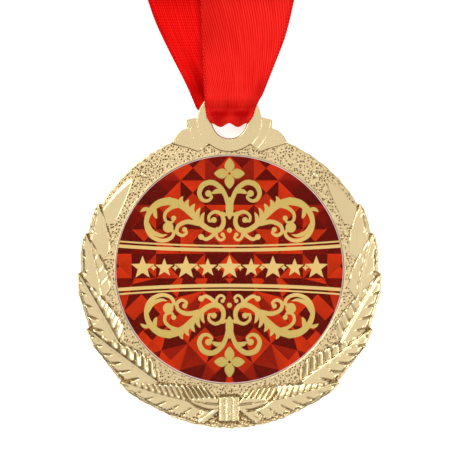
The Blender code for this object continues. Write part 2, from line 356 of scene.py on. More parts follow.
# Leaves of one branch: root angle, tip angle, root radius, tip radius, inner and outer half-width,
# spacing of the outer grooves and of the inner flutes, how deep they are cut, and the plain strip inside
leaves = (
    (4, 47, 27.8, 32.5, 3.9, 4.6, 2.9, 1.45, 0.7, 1.2),
    (35, 71, 27.4, 32.8, 3.5, 4.9, 2.7, 2.2, 0.9, 0),
    (60, 92.5, 27.9, 32.9, 3.1, 4.6, 2.9, 2.6, 0.75, 0),
    (82, 108, 28.5, 32.9, 2.9, 4.2, 3.8, 2.9, 0.55, 0),
    (99, 120, 29.2, 32.8, 2.6, 3.4, 4.4, 3.6, 0.34, 0),
    (113, 137.5, 29.9, 30.6, 2.2, 2.7, 5.0, 4.4, 0.2, 0),
)
tie = {
    "low": -31.1,
    "high": -25.4,
    "middle": -0.2,
    "halfWidth": 2.35,
    "top": 3.0,
    "ridge": 0.17,
    "ridges": (-2.2, -0.85, 0.7, 2.15),
}
berry = {"angle": 140.5, "radius": 29.6, "size": 0.65, "flatness": 0.5}
# How far a leaf may reach past the disc's edge, and the mean radius its length is measured at
rimOverhang = 0.45
meanRadius = 29.5


def leafPlace(leaf, degrees):
    # Share of the leaf's length, and the radius of its midrib there
    rootDeg, tipDeg, rootR, tipR = leaf[:4]
    u = (degrees - rootDeg) / (tipDeg - rootDeg)
    return u, rootR + (tipR - rootR) * np.clip(u, 0, 1) ** 2.2


def leafWidths(leaf, u, spine):
    # A round shoulder at the root and a point at the tip, held inside the rim
    shoulder = np.sqrt(np.clip(u / 0.3 * (2 - u / 0.3), 0, 1))
    shoulder = np.where(u < 0.3, shoulder, 1)
    left = np.clip(1 - u, 0, 1)
    inner = leaf[4] * shoulder * (1 - np.clip(u, 0, 1) ** 3)
    outer = leaf[5] * shoulder * left**0.5
    return inner, np.minimum(outer, discR + rimOverhang - spine)


def rimRadius(degrees):
    # The disc's edge, pushed out where a leaf reaches past it
    radius = np.full_like(degrees, discR)
    for leaf in leaves:
        u, spine = leafPlace(leaf, degrees)
        reach = spine + leafWidths(leaf, u, spine)[1] + 0.25
        radius = np.where((u > 0) & (u < 1), np.maximum(radius, reach), radius)
    radius += 0.05 * np.sin(0.9 * degrees + 1.3) + 0.04 * np.sin(2.1 * degrees)
    # The ribbon's hole bites into the disc's top: nearer crossing of a ray with the hole's circle
    fromTop = np.radians(180 - degrees)
    hit = (holeR + 0.04) ** 2 - (holeY * np.sin(fromTop)) ** 2
    nearer = holeY * np.cos(fromTop) - np.sqrt(np.clip(hit, 0, None))
    return np.where((hit > 0) & (degrees > 90), np.minimum(radius, nearer), radius)


def leafHeight(leaf, degrees, radius):
    # Height of one leaf's surface, or 0 outside it: a cambered blade, a raised midrib, broad barbs
    # outside it with a narrow groove between each two, and ridged flutes inside it
    u, spine = leafPlace(leaf, degrees)
    inner, outer = leafWidths(leaf, u, spine)
    offset = radius - spine
    width = np.where(offset > 0, outer, inner)
    inside = (u > 0) & (u < 1) & (np.abs(offset) < width)
    along = (degrees - leaf[0]) * math.pi / 180 * meanRadius
    relief = min(1, 0.16 + 1.1 * leaf[8])
    top = medalLook["leafHeight"] + medalLook["tipRise"] * np.clip(u, 0, 1)
    camber = np.where(offset > 0, 0.1 * leaf[6], 0.25) * leaf[8]
    camber *= (np.abs(offset) / np.maximum(width, 0.01)) ** 3
    place = (along - 0.7 * np.abs(offset)) / leaf[6]
    barb = place - np.floor(place)
    chance = np.sin(np.round(place) * 12.9 + leaf[0]) * 0.5 + 0.5
    toGroove = np.minimum(barb, 1 - barb) * leaf[6]
    reach = offset / np.maximum(outer, 0.01)
    # The lowest leaf's grooves are wide, shallow and long
    wide = leaf[9] / 1.2
    starts = (0.3 + 0.3 * chance) * (1 - 0.6 * wide)
    groove = hump(toGroove, 0.14 + 0.16 * chance + 0.25 * wide) * smooth((reach - starts) / 0.25)
    groove *= 1 - 0.62 * wide
    pillow = np.abs(2 * barb - 1) ** 3 * smooth((offset - 0.4) / 2.2) * leaf[6] / 2.8
    outside = -leaf[8] * (medalLook["grooveDepth"] * groove + medalLook["pillow"] * pillow)
    flute = (along - 1.05 * np.abs(offset)) / leaf[7] % 1
    flute = smooth(np.minimum(flute / 0.62, (1 - flute) / 0.38))
    plain = 0.3 + leaf[9] * (1 - smooth((u - 0.1) / 0.3))
    inward = medalLook["fluteDepth"] * leaf[8] * (flute - 1) * smooth((-offset - plain) / 0.5)
    rib = 0.16 * hump(offset, 0.25) - 0.26 * hump(offset + 0.45, 0.18)
    height = top - camber + np.where(offset > 0, outside, inward) + rib * leaf[8]
    # Where the rim cuts the leaf off, its edge stays high
    clipped = 0.8 * (discR + rimOverhang - 0.01 - spine < outer) * (offset > 0)
    slope = np.where(offset > 0, 0.3 + 1.3 * (1 - leaf[8]), 0.35)
    edge = relief * smooth((width + clipped - np.abs(offset)) / slope)
    base = medalLook["fieldHeight"]
    return np.where(inside, base + (height - base) * edge, 0)


def medalFront(x, y, rim):
    # Front height and the share of grained field at each point
    degrees = np.degrees(np.arctan2(np.abs(x), -y))
    radius = np.hypot(x, y)
    base = medalLook["fieldHeight"]
    field = np.ones_like(x)
    height = np.full_like(x, base)
    lip = smooth((medalLook["lipWidth"] - (rim - radius)) / 0.2)
    height += 0.16 * lip
    field = np.minimum(field, 1 - lip)
    # The blades are worn and slightly uneven: two crossed waves
    uneven = np.sin(2.3 * x + 1.1 * y + np.sin(1.7 * y)) * np.sin(2.0 * y - 1.3 * x)
    uneven += 0.5 * np.sin(4.7 * x - 2.9 * y) * np.sin(3.9 * y + 2.7 * x)
    for leaf in leaves:
        blade = leafHeight(leaf, degrees, radius)
        field = np.minimum(field, 1 - smooth((blade - base - 0.02) / 0.08))
        height = np.maximum(height, blade + medalLook["uneven"] * uneven * smooth((blade - base) / 0.4))
    # Coarse pebbles between the stems and the rim
    pebbles = smooth((33 - degrees) / 8) * (height < base + 0.3) * smooth((radius - 29.2) / 0.8)
    bumps = np.sin(5.3 * x + 2.1 * y) * np.sin(4.4 * y - 3.1 * x)
    bumps += 0.6 * np.sin(9.1 * x - 6.3 * y) * np.sin(7.7 * y + 5.2 * x)
    height += 0.3 * pebbles * bumps
    # A short leaf lies over the branch on each side of the tie: a step and a crease along its outline
    outline = 28.9 - 2.7 * ((degrees - 10) / 14) ** 2
    short = smooth((23.5 - degrees) / 1.5) * (height > base + 0.3)
    height += short * (0.14 * smooth((outline - radius) / 0.25) - 0.4 * hump(radius - outline, 0.22))
    # Tie: a flat grained band with thin ridges across it
    fromTie = x - tie["middle"]
    inTie = smooth((y - tie["low"]) / 0.2) * smooth((tie["high"] - y) / 0.2)
    inTie *= smooth((tie["halfWidth"] - np.abs(fromTie)) / 0.15)
    band = tie["top"] + tie["ridge"] * sum(hump(x - at, 0.2) for at in tie["ridges"])
    height = height * (1 - inTie) + band * inTie
    field = np.where(inTie > 0.5, 0.36, field)
    # Cut stems below the tie: half-round bars
    startX, startY = tie["halfWidth"] - 0.6, tie["low"] + 3.4
    runX, runY = 6.4 - startX, -31.3 - startY
    fromX, fromY = np.abs(x) - startX, y - startY
    along = np.clip((fromX * runX + fromY * runY) / (runX**2 + runY**2), 0, 1)
    away = np.hypot(fromX - along * runX, fromY - along * runY)
    stem = (base + 0.55 * np.sqrt(np.clip(1 - (away / (0.55 + 0.35 * along)) ** 2, 0, 1))) * (inTie < 0.5)
    height = np.maximum(height, stem)
    # Berries at the branches' ends: flattened domes
    angle = math.radians(berry["angle"])
    away = np.hypot(np.abs(x) - berry["radius"] * math.sin(angle), y + berry["radius"] * math.cos(angle))
    dome = base + berry["flatness"] * np.sqrt(np.clip(berry["size"] ** 2 - away**2, 0, 1))
    field = np.where(away < berry["size"], 0, field)
    height = np.maximum(height, dome)
    # Smooth bead round the label's recess
    toRecess = np.hypot(x, y - labelY) - labelR - medalLook["recessClearance"]
    bead = smooth((0.4 - toRecess) / 0.2)
    height = np.maximum(height, (base + 0.05) * (toRecess < 0.4))
    return height, np.minimum(field, 1 - bead)


def discShell():
    # Closed shell: recess floor, front relief, rim and back, ring by ring from the front's centre
    steps = medalLook["angularSteps"]
    around = np.arange(steps) / steps * 2 * math.pi
    degrees = np.degrees(np.arccos(np.clip(-np.sin(around), -1, 1)))
    rim = rimRadius(degrees)
    unit = np.stack([np.cos(around), np.sin(around)], axis=-1)
    centre = np.array([0, labelY])
    recess = labelR + medalLook["recessClearance"]
    t = np.linspace(0, 1, medalLook["radialSteps"])[:, None, None]
    flat = (1 - t) * (centre + recess * unit)[None] + t * (rim[:, None] * unit)[None]
    height, field = medalFront(flat[..., 0], flat[..., 1], rim[None, :])
    toRim = rim[None, :] - np.hypot(flat[..., 0], flat[..., 1])
    height -= 0.3 * (1 - np.sqrt(np.clip(toRim / 0.3, 0, 1)))
    # How far each point lies below the mean of its surroundings: a painted shade share, which darkens the
    # gold's colour in grooves and creases
    near = [np.roll(height, turn, axis=1) for turn in (-4, -2, 2, 4)]
    padded = np.pad(height, ((3, 3), (0, 0)), mode="edge")
    near += [padded[3 + d : len(padded) - 3 + d] for d in (-3, -2, 2, 3)]
    creaseShade = np.clip((sum(near) / 8 - height - 0.01) / 0.07, 0, 1) * (toRim > rimOverhang)
    floor = np.full(steps, medalLook["recessFloor"])
    rings = [np.column_stack([centre + recess * share * unit, floor]) for share in (0.5, 1)]
    rings += list(np.dstack([flat, height]))
    for inset, low in ((0.0, 1.2), (0.0, 0.3), (0.25, 0.05), (0.5, 0.0), (2.0, 0.0)):
        rings.append(np.column_stack([(rim - inset)[:, None] * unit, np.full(steps, low)]))
    for radius, low in ((30.3, 0.3), (27.0, 0.35), (26.4, 0.04), (26.0, 0.0), (13.0, 0.0)):
        rings.append(np.column_stack([radius * unit, np.full(steps, low)]))
    points = np.vstack(rings + [[[0, labelY, medalLook["recessFloor"]]], [[0, 0, 0]]])
    shares = np.zeros((2, len(points)))
    shares[:, 2 * steps : (2 + len(flat)) * steps] = field.ravel(), creaseShade.ravel()
    return points, facingOut(points, cappedFaces(len(rings), steps)), shares


lugLook = {
    "ringR": 7.05,
    "middleR": 6.6,
    "ringTop": 3.02,
    "collarTop": 2.92,
    "wingTop": 2.86,
    "back": 1.3,
    "innerRows": 22,
    "outerRows": 26,
    "steps": 400,
}


def lugOutline():
    # Right half of the lug's outline about the hole, from the ring's top down to its lower arc
    ring = lugLook["ringR"]
    arc = np.radians(np.linspace(90, 7.5, 40))
    upper = np.column_stack([ring * np.cos(arc), ring * np.sin(arc)])
    shoulder = np.array([[7.25, 0.75], [7.6, 0.62], [9.05, 0.42], [9.3, 0.2], [9.38, -1.0], [9.3, -1.45]])
    drape = curveThrough([[9.35, -1.6], [10.6, -2.1], [11.8, -3.2], [12.75, -4.85]], 0.25)
    hem = curveThrough([[12.75, -4.9], [10.6, -5.5], [8.8, -6.0], [6.9, -6.75]], 0.3)
    lower = np.radians(np.linspace(-48, -90, 20))
    under = np.column_stack([6.75 * np.cos(lower), 6.75 * np.sin(lower)])
    return np.vstack([upper, shoulder, drape, hem, under])


def lugShell():
    # Closed tube round the hole: the outline's radius is a function of angle, and the front steps down
    # from ring to collar to wing
    outline = lugOutline()
    angles = np.arctan2(outline[:, 1], outline[:, 0])
    radii = np.hypot(outline[:, 0], outline[:, 1])
    order = np.argsort(angles)
    around = np.linspace(-math.pi, math.pi, lugLook["steps"], endpoint=False)
    folded = np.arctan2(np.sin(around), np.abs(np.cos(around)))
    edge = np.interp(folded, angles[order], radii[order])
    unit = np.stack([np.cos(around), np.sin(around)], axis=-1)
    inner, middle = holeR, lugLook["middleR"]
    first = np.linspace(0, 1, lugLook["innerRows"])[:, None]
    second = np.linspace(0, 1, lugLook["outerRows"])[1:, None]
    radius = np.vstack([inner + (middle - inner) * first + 0 * edge, middle + (edge - middle) * second])
    x, y = radius * unit[:, 0], radius * unit[:, 1]
    height = np.full_like(radius, lugLook["ringTop"])
    height -= (lugLook["ringTop"] - lugLook["collarTop"]) * smooth((radius - 6.98) / 0.1)
    height += 0.05 * smooth((radius - 7.3) / 1.4) * (radius > 7.1)
    beyond = radius - (8.95 + 0.012 * np.degrees(folded)[None, :])
    height -= (lugLook["collarTop"] + 0.05 - lugLook["wingTop"]) * smooth(beyond / 0.1)
    height += 0.1 * smooth(beyond / 2.5)
    height -= 0.16 * smooth((0.28 - (radius - inner)) / 0.28) ** 2
    height -= 0.2 * smooth((0.25 - (edge - radius)) / 0.25) ** 2
    front = np.dstack([x, y + holeY, height])
    low = []
    for share, rise in ((1, 0.9), (1, 0.15), (0.985, 0), (0.6, 0), (0.02, 0), (0, 0.12), (0, 0.9)):
        r = inner + (edge - inner) * share
        z = np.full(len(around), lugLook["back"] + rise)
        low.append(np.column_stack([r * unit[:, 0], r * unit[:, 1] + holeY, z]))
    points = np.vstack([front.reshape(-1, 3)] + low)
    rows = len(front) + len(low)
    # Painted shade round the hole's rim and along the wings' hem: the gold's colour darkens there
    hem = hump(edge - radius - 0.08, 0.12) * (np.degrees(folded) < -15)
    rim = hump(radius - inner - 0.1, 0.14)
    darkening = np.maximum(hem * 0.8, rim)
    shares = np.zeros((2, len(points)))
    shares[0], shares[1, : darkening.size] = 0.12, darkening.ravel()
    return points, facingOut(points, [gridFaces(rows, len(around), wrapRows=True, wrapColumns=True)]), shares


def goldMaterial():
    look = medalLook
    made, tree, shader = newMaterial("goldPlate")
    place, mask, creaseShade = objectPlace(tree), storedShare(tree, "field"), storedShare(tree, "creaseShade")
    pitted = useGroup(grain, place, Size=0.6, Mask=mask, Depth=0.0001)
    marks = useGroup(wear, place, Size=9.0)
    # The grained field and its pits are darker, and painted shade darkens the grooves and creases towards the
    # dark gold
    ground = calc("MAXIMUM", pitted["Pits"] * 0.95, mask * 0.16)
    darkening = calc("MAXIMUM", ground, calc("POWER", creaseShade, 2.2) * 0.95)
    tone = mix(tree, darkening, (*look["gold"], 1), (*look["creaseGold"], 1))
    shade = ramp(marks["Tarnish"], [(0.35, (0.86, 0.84, 0.80)), (0.6, (1, 1, 1))])
    plug(shader, {
        "Base Color": mix(tree, 0.35, tone, shade, "MULTIPLY"),
        "Normal": pitted["Normal"],
        "Roughness": marks["Scuffs"] * 0.12 + (look["roughness"] - 0.06) + mask * 0.12,
        "Metallic": 1.0,
    })
    return made


def buildMedal():
    discPoints, discFaces, shares = discShell()
    lugPoints, lugFaces, lugShares = lugShell()
    faces = discFaces + [group + len(discPoints) for group in lugFaces]
    body = meshFrom("medalBody", np.vstack([discPoints, lugPoints]), faces)
    for name, values in zip(("field", "creaseShade"), np.hstack([shares, lugShares])):
        storeShare(body, name, values)
    body.data.materials.append(goldMaterial())
    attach(body, "medal")
    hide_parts("medal_body")
    print("casting built")


buildMedal()


# The label: printed foil, its gold ornament and the clear film

labelLook = {
    "cell": 10.7,
    "cellRise": 14.1,
    # The facets' reds are painted reflection: bright, mid and dark stand for facets that catch more or less
    # light
    "litFacetRed": (0.49, 0.024, 0.002),
    "halfLitFacetRed": (0.25, 0.009, 0.0015),
    "shadedFacetRed": (0.106, 0.003, 0.0003),
    "print": (0.66, 0.45, 0.11),
    "printMiddle": (0.76, 0.52, 0.17),
    "printEnds": (0.54, 0.40, 0.09),
    "printThickness": 0.03,
    "filmCrown": 0.03,
    "artRise": 0.35,
    "edgeWidth": 0.2,
    "edge": (0.86, 0.66, 0.68),
}


def disc(name, radius, low, high, crown=0.0):
    # A thin disc about the label's centre, with a rounded edge and a slightly domed face:
    # z = high + crown (1 - (r/R)^2)
    steps = 160
    around = np.arange(steps) / steps * 2 * math.pi
    half = (high - low) / 2
    profile = [(radius * s, high + crown * (1 - s * s)) for s in np.linspace(0.04, 1, 22)[:-1]]
    for a in np.radians([90, 60, 30, 0, -30, -60, -90]):
        profile.append((radius - half + half * math.cos(a), low + half + half * math.sin(a)))
    profile += [(radius * 0.5, low), (radius * 0.04, low)]
    rings = []
    for r, z in profile:
        rings.append(np.column_stack([r * np.cos(around), labelY + r * np.sin(around), np.full(steps, z)]))
    points = np.vstack(rings + [[[0, labelY, high + crown]], [[0, labelY, low]]])
    return meshFrom(name, points, facingOut(points, cappedFaces(len(rings), steps)))


def foilMaterial():
    # Mirrored facets: each square cell splits into eight triangles, and white noise picks each one's red, a
    # painted reflection: bright, mid or dark as if each facet caught the light at its own tilt
    look = labelLook
    made, tree, shader = newMaterial("printedFoil")
    place = objectPlace(tree)
    placeX, placeY = split(place)[:2]
    cell = look["cell"] * mm
    x = abs(placeX) / cell + 0.5
    y = (placeY - (labelY + look["cellRise"]) * mm) / cell
    # The lowest rows of cells lean over
    lower = calc("LESS_THAN", y, -1.5)
    skewX = x + y * 0.3 * lower
    skewY = y + x * 0.25 * lower
    cellX, cellY = calc("FLOOR", skewX), calc("FLOOR", skewY)
    inX, inY = skewX - cellX - 0.5, skewY - cellY - 0.5
    turn = calc("ARCTAN2", inY, inX) / (math.pi / 4)
    sector = calc("FLOOR", turn)
    ringed = calc("GREATER_THAN", abs(inX) + abs(inY), 0.5)
    key = {"Vector": vectorOf(cellX, cellY, sector + ringed * 9)}
    random = wire(tree, "ShaderNodeTexWhiteNoise", key, "Value", noise_dimensions="3D")
    dark = look["shadedFacetRed"]
    stops = [(0.0, dark), (0.36, (dark[0] * 1.5, *dark[1:])), (0.48, look["halfLitFacetRed"]), (0.62, look["litFacetRed"])]
    # Painted reflection: each facet brightens from one side to the other, as light off tilted foil would,
    # though the foil is flat
    side = turn - sector - calc("FRACT", random * 17)
    red = scaled(ramp(random, stops, "CONSTANT"), side * 0.22 + 1)
    # The cut edge of the label shows as a pale line
    fromCentre = {0: vectorOf(placeX, placeY - labelY * mm)}
    radius = wire(tree, "ShaderNodeVectorMath", fromCentre, "Value", operation="LENGTH")
    onEdge = calc("GREATER_THAN", radius, (labelR - look["edgeWidth"]) * mm)
    plug(shader, {
        "Base Color": mix(tree, onEdge, red, (*look["edge"], 1)),
        "Normal": bumpFrom(noiseAt(place, 3000), 0.000004),
        "Roughness": 0.5,
        "Specular IOR Level": 0.04,
    })
    return made


def filmMaterial():
    # Clear gloss: a mirror coat whose alpha is the Fresnel reflection of its outer face
    made, tree, shader = newMaterial("clearFilm")
    fresnel = wire(tree, "ShaderNodeFresnel", {"IOR": 1.4})
    outer = calc("SUBTRACT", 1.0, wire(tree, "ShaderNodeNewGeometry", output="Backfacing"))
    marks = useGroup(wear, objectPlace(tree), Size=6.0)
    plug(shader, {
        "Base Color": (1, 1, 1, 1),
        "Metallic": 1.0,
        "Alpha": calc("MAXIMUM", fresnel - 0.027, 0.0015) * outer,
        "Roughness": marks["Scuffs"] * 0.1 + 0.04,
    })
    return made


def strip(points, widths):
    # A flat stroke: the path pushed out by half its width to each side
    points = np.asarray(points, dtype=float)
    along = np.gradient(points, axis=0)
    along /= np.maximum(np.hypot(along[:, 0], along[:, 1]), 1e-9)[:, None]
    side = np.column_stack([-along[:, 1], along[:, 0]]) * np.asarray(widths)[:, None] / 2
    return np.stack([points + side, points - side], axis=1)


def taper(count, first, middle, last):
    # Stroke width along its length, from first through middle to last
    t = np.linspace(0, 2, count)
    return first + (middle - first) * smooth(t) + (last - middle) * smooth(t - 1)


def ball(cx, cy, radius):
    # A round dot as a strip: half-height = sqrt(r^2 - x^2)
    across = radius * np.cos(np.linspace(math.pi, 0, 17))
    half = np.sqrt(np.maximum(radius**2 - across**2, 0.0004))
    sides = [np.column_stack([across, half]), np.column_stack([across, -half])]
    return np.stack(sides, axis=1) + [cx, cy]


def leafStroke(points, width):
    # A leaf: width = W sin(pi t)^0.7 along its path
    path = curveThrough(points, 0.15)
    t = np.linspace(0, 1, len(path))
    return strip(path, 0.03 + width * np.sin(math.pi * t) ** 0.7)


def curl(points, first, middle, last, dot=None):
    # A tapered scroll through the points, with a ball at its inner end
    path = curveThrough(points, 0.12)
    strokes = [strip(path, taper(len(path), first, middle, last))]
    if dot:
        strokes.append(ball(*points[-1], dot))
    return strokes


def quarterOrnament():
    # One quarter of the scrollwork about the label's centre, right and above: its strokes, each with
    # the x and y of its points in turn. A leaf has one width. A scroll has its widths at the start, in
    # the middle and at the end, and the size of its ball
    rows = (
        (
            (0.7, 0.95, 1.7),
            (13.4, 8.3, 12.2, 7.4, 12.9, 6.1, 14.9, 5.6, 17.2, 6.7)
            + (18.2, 9.2, 17.5, 11.8, 15.5, 13.7, 12.8, 14.3),
        ),
        (
            (1.7, 1.15, 0.6, 0.62),
            (13.2, 14.25, 10.4, 13.3, 8.1, 11.3, 6.0, 9.1, 4.0, 7.9, 2.2, 8.0)
            + (1.3, 9.5, 1.7, 11.2, 3.1, 11.9, 4.4, 11.1, 4.4, 9.9, 3.4, 10.1),
        ),
        ((0.9, 0.7, 0.5, 0.55), (10.6, 13.4, 12.8, 12.7, 14.1, 11.4, 13.9, 9.9, 12.6, 9.6, 12.2, 10.5)),
        ((1.1, 0.85, 0.6, 0.55), (6.6, 9.3, 9.2, 9.7, 11.1, 8.9, 11.5, 7.5, 10.4, 6.7, 9.4, 7.3, 9.8, 8.0)),
        ((1.0, 0.8, 0.7, 0.62), (2.4, 8.3, 3.7, 6.7, 5.1, 5.9, 6.2, 6.4)),
        ((0.7, 0.6, 0.45, 0.45), (2.9, 8.0, 2.75, 6.4, 1.9, 5.7, 1.1, 6.2, 1.5, 6.9)),
        ((0.9,), (17.9, 9.8, 16.9, 7.6, 15.0, 6.7, 13.6, 6.9)),
        ((0.8,), (17.0, 12.2, 18.4, 12.5, 19.5, 11.9)),
        ((0.9,), (16.2, 12.9, 16.3, 11.5, 15.9, 10.4)),
        ((1.0,), (9.6, 12.4, 10.6, 14.2, 10.2, 15.3)),
        ((1.0,), (8.6, 11.6, 9.4, 13.4, 8.9, 14.6)),
        ((1.0,), (7.6, 10.6, 8.2, 12.4, 7.6, 13.7)),
        ((0.9,), (6.7, 9.8, 7.0, 11.5, 6.4, 12.8)),
        ((0.8,), (5.8, 9.0, 6.0, 10.6, 5.5, 11.8)),
        ((1.7,), (0.0, 10.2, 0.0, 12.2, 0.0, 15.2)),
        ((0.7,), (0.1, 11.6, 0.9, 11.3, 1.7, 11.9)),
        (
            (0.9, 1.15, 0.6, 0.72),
            (0.3, 13.2, 0.9, 15.4, 2.0, 17.2, 3.8, 18.3, 5.7, 17.8)
            + (6.6, 16.1, 6.0, 14.6, 4.8, 14.3, 3.9, 15.1, 4.6, 15.9),
        ),
        ((1.0,), (1.5, 16.0, 2.6, 16.4, 3.9, 15.9)),
    )
    strokes = []
    for widths, path in rows:
        points = np.reshape(path, (-1, 2))
        strokes += curl(points, *widths) if len(widths) > 1 else [leafStroke(points, *widths)]
    strokes.insert(1, ball(13.4, 8.5, 1.15))
    return strokes


def flowerStrokes(height):
    # Four pointed petals about one centre: half-width = W sin(pi t^0.8)^0.8
    t = np.linspace(0, 1, 26)
    along, half = 0.42 + 2.9 * t, 0.06 + 1.02 * np.sin(math.pi * t**0.8) ** 0.8
    petals = []
    for a in np.arange(4) * math.pi / 2:
        edge = []
        for side in (half, -half):
            x, y = along * math.cos(a) - side * math.sin(a), along * math.sin(a) + side * math.cos(a)
            edge.append(np.column_stack([x, height + y]))
        petals.append(np.stack(edge, axis=1))
    angle = np.linspace(0, 2 * math.pi, 25)
    ringed = [np.column_stack([r * np.cos(angle), height + r * np.sin(angle)]) for r in (0.75, 0.3)]
    return petals + [np.stack(ringed, axis=1)]


def bannerStrokes():
    # Two rules above the text band, bowed towards the middle, cut off at the label's edge
    strokes = []
    for rise, spread, width in ((3.88, 0.9, 0.74), (4.8, 0.98, 0.36)):
        reach = math.sqrt(labelR**2 - (rise + spread + labelLook["artRise"]) ** 2) - 0.12
        x = np.linspace(-reach, reach, 120)
        y = rise + spread * (x / reach) ** 2
        strokes.append(strip(np.column_stack([x, y]), np.full(len(x), width)))
    return strokes


def starStroke(cx, cy, outer, inner, points=5):
    # A star: a ring of alternating radii about its centre
    angle = np.arange(points * 2 + 1) * math.pi / points + math.pi / 2
    radius = np.where(np.arange(points * 2 + 1) % 2 == 0, outer, inner)
    edge = np.column_stack([radius * np.cos(angle), radius * np.sin(angle)])
    return np.stack([edge, 0.02 * edge], axis=1) + [cx, cy]


def rowStrokes():
    # Stars and lozenges in a row along the band
    step = 4.75
    stars = [(n * step, 2.65 if n % 2 == 0 else 2.1) for n in range(-4, 5)]
    strokes = [starStroke(x, 0, size, size * 0.42) for x, size in stars]
    return strokes + [starStroke((n + 0.5) * step, 0, 0.7, 0.34, points=4) for n in range(-4, 4)]


def ornamentStrokes():
    strokes = []
    for sx in (1, -1):
        for sy in (1, -1):
            strokes += [(stroke + [0, 0.35]) * [sx, sy] for stroke in quarterOrnament()]
    for sy in (1, -1):
        strokes += [stroke * [1, sy] for stroke in bannerStrokes()]
        strokes += flowerStrokes(sy * 20.6)
        strokes.append(ball(0, sy * 8.2, 0.55))
    return [stroke + [0, labelLook["artRise"]] for stroke in strokes + rowStrokes()]


def buildPrint(top):
    # Each stroke is a thin raised plate: its flat outline, lifted, with walls down to the foil
    points, faces, first = [], [], 0
    thick = labelLook["printThickness"]
    strokes = ornamentStrokes()
    for number, stroke in enumerate(strokes):
        count = len(stroke)
        lift = top + 0.012 + thick * (0.5 + 0.3 * number / len(strokes)) + 0.003 * np.linspace(0, 1, count)
        base = np.full(count, top + 0.002)
        corners = np.concatenate([stroke[:, :1], stroke[:, :1], stroke[:, 1:], stroke[:, 1:]], axis=1)
        heights = np.column_stack([base, lift, lift, base])
        tube = np.dstack([corners + [0, labelY], heights]).reshape(-1, 3)
        quads = gridFaces(count, 4, wrapColumns=True)
        ends = np.array([[3, 2, 1, 0], [4 * count - 4, 4 * count - 3, 4 * count - 2, 4 * count - 1]])
        body = facingOut(tube, [np.vstack([quads, ends])])
        points.append(tube)
        faces.append(body[0] + first)
        first += len(tube)
    made = meshFrom("labelPrint", np.vstack(points), faces, rounded=False)
    made.data.materials.append(printMaterial())
    return made


def printMaterial():
    # Metallic ink: a warm gold with fine flakes, pale in the middle of the label and olive at its ends
    look = labelLook
    made, tree, shader = newMaterial("goldInk")
    place = objectPlace(tree)
    share = abs(split(place)[1] - labelY * mm) / (labelR * mm)
    tone = ramp(share, [(0.2, look["printMiddle"]), (0.32, look["print"]), (0.85, look["printEnds"])])
    marks = useGroup(wear, place, Size=1.2)
    flakes = ramp(marks["Scuffs"], [(0.35, (0.86, 0.85, 0.8)), (0.65, (1, 1, 1))])
    plug(shader, {"Base Color": mix(tree, 1, tone, flakes, "MULTIPLY"), "Roughness": 0.5, "Metallic": 0.25})
    return made


def buildLabel():
    foilTop = foilHigh[2] / mm
    foil = disc("labelFoil", labelR, foilLow[2] / mm, foilTop)
    foil.data.materials.append(foilMaterial())
    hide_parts("label_foil")
    printed = buildPrint(foilTop)
    filmLow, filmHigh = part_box("label_film")
    film = disc("labelFilm", labelR - 0.05, filmLow[2] / mm, filmHigh[2] / mm, labelLook["filmCrown"])
    film.data.materials.append(filmMaterial())
    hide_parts("label_film")
    for piece in (foil, printed, film):
        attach(piece, "medal")
    glue, tree, shader = newMaterial("adhesive")
    marks = useGroup(wear, objectPlace(tree), Size=3.0)
    tone = ramp(marks["Tarnish"], [(0.3, (0.78, 0.76, 0.66)), (0.7, (0.9, 0.89, 0.82))])
    plug(shader, {"Base Color": tone, "Roughness": 0.6})
    node = frame["nodes"]["label_adhesive"]
    node.data.materials.clear()
    node.data.materials.append(glue)
    print("label built")


buildLabel()


# The satin ribbon: one strip, from its sewn end through the hank, down the front band, through the
# hole, up the back band and through the hank again

hankLow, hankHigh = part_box("ribbon_hank")
hankY = (hankLow[1] + hankHigh[1]) / 2 / mm
ribbonTop = 7.86
ribbonLook = {
    "width": 22.0,
    "thickness": 0.28,
    "columns": 57,
    "bandStep": 0.31,
    "picot": 0.08,
    "hankStep": 3.2,
    "turnX": 31.0,
    "layer": 1.1,
    "firstLayers": (1.0, 2.15),
    "endX": -20.5,
    "foldRadius": 0.3,
    "red": (0.79, 0.010, 0.006),
    "shineRed": (0.93, 0.026, 0.018),
    "shadeRed": (0.60, 0.001, 0.001),
    # The darkest red is painted shade for the cloth's folds
    "foldShadeRed": (0.40, 0.0001, 0.0001),
    "selvedge": 10.1,
    "backRed": (0.92, 0.004, 0.003),
    "roughness": 0.42,
}
# Each half of the visible strip, from the bottom of its turn through the hole: y, z, centre x, width
frontLine = (
    (34.45, 1.95, 0.0, 6.9),
    (33.8, 3.0, 0.0, 7.5),
    (34.1, 3.8, -0.05, 8.3),
    (35.2, 4.15, 0.0, 9.6),
    (36.3, 3.6, 0.1, 10.4),
    (37.2, 3.45, 0.2, 10.9),
    (38.2, 4.3, 0.4, 11.5),
    (39.8, 4.95, 0.75, 12.3),
    (43.6, 3.7, 1.4, 14.0),
    (47.9, 2.2, 2.2, 15.95),
    (52.3, 1.8, 2.95, 17.9),
    (56.7, 1.65, 3.5, 19.3),
    (61.0, 1.6, 3.85, 20.5),
    (65.2, 1.6, 4.1, 22.0),
    (92.0, 1.6, 4.1, 22.0),
)
backLine = (
    (34.45, 1.95, 0.0, 6.9),
    (35.3, 0.95, 0.0, 7.4),
    (36.2, 0.66, -0.7, 8.8),
    (37.4, 0.6, -1.6, 11.0),
    (38.4, 0.56, -1.7, 11.8),
    (40.3, 0.56, -1.9, 13.0),
    (43.6, 0.5, -2.65, 14.5),
    (47.9, 0.45, -3.9, 16.4),
    (52.3, 0.4, -5.3, 18.0),
    (56.7, 0.4, -6.4, 19.8),
    (61.0, 0.4, -7.3, 21.0),
    (65.2, 0.4, -7.9, 22.0),
    (92.0, 0.4, -7.9, 22.0),
)


def lineAlong(line):
    # The strip's middle line: arc length, and y, z, x and width there
    dense = curveThrough(line, 0.05)
    return lengthAlong(dense[:, :2]), dense


